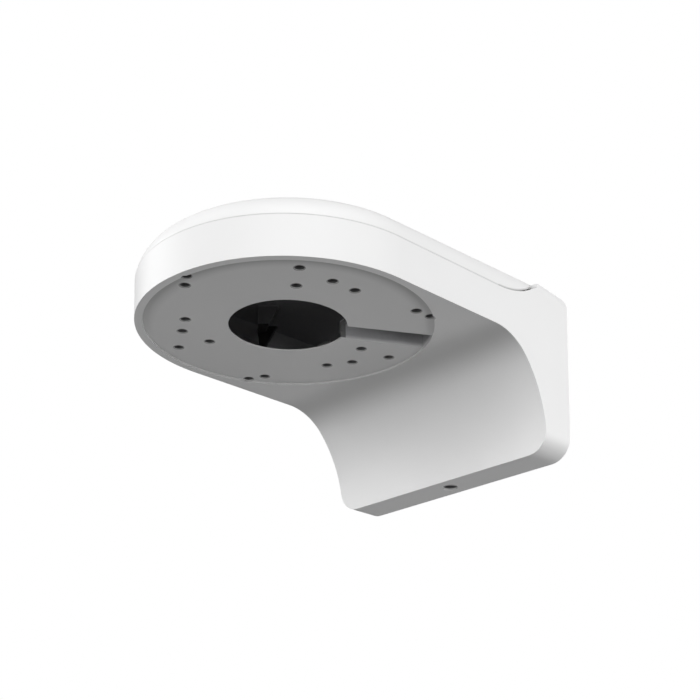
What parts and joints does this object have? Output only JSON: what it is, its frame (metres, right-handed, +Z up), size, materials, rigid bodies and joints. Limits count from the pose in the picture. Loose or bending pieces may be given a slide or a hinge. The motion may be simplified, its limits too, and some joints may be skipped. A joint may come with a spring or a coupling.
{
  "type": "camera wall bracket",
  "caption": "Wall bracket for a dome camera: round camera plate on a curved hollow arm, with a domed top cover and a collar that hangs on a steel wall plate.",
  "frame": {"origin": "on the wall plane, in the middle of the width, level with the lower rim of the round head", "axes": "+Y points into the wall and the bracket reaches out along -Y; +Z is up; the camera hangs below, toward -Z; +X is to the right, seen from in front facing the wall"},
  "size_m": [0.1226, 0.1609, 0.0757],
  "materials": {
    "powder_coat": "white powder coat over cast aluminium, faint orange peel, satin",
    "seal_rubber": "black moulded rubber, matt",
    "seal_foam": "closed-cell foam strip, matt",
    "zinc_steel": "zinc-plated pressed steel",
    "black_screw": "black oxide steel"
  },
  "bodies": {
    "root": {"bracket_body": "powder_coat", "top_cover": "powder_coat", "cover_seal": "seal_rubber", "wall_plate": "zinc_steel", "wall_seal": "seal_foam", "lock_screw": "black_screw", "cover_screw_left": "black_screw", "cover_screw_right": "black_screw"}
  },
  "joints": []
}
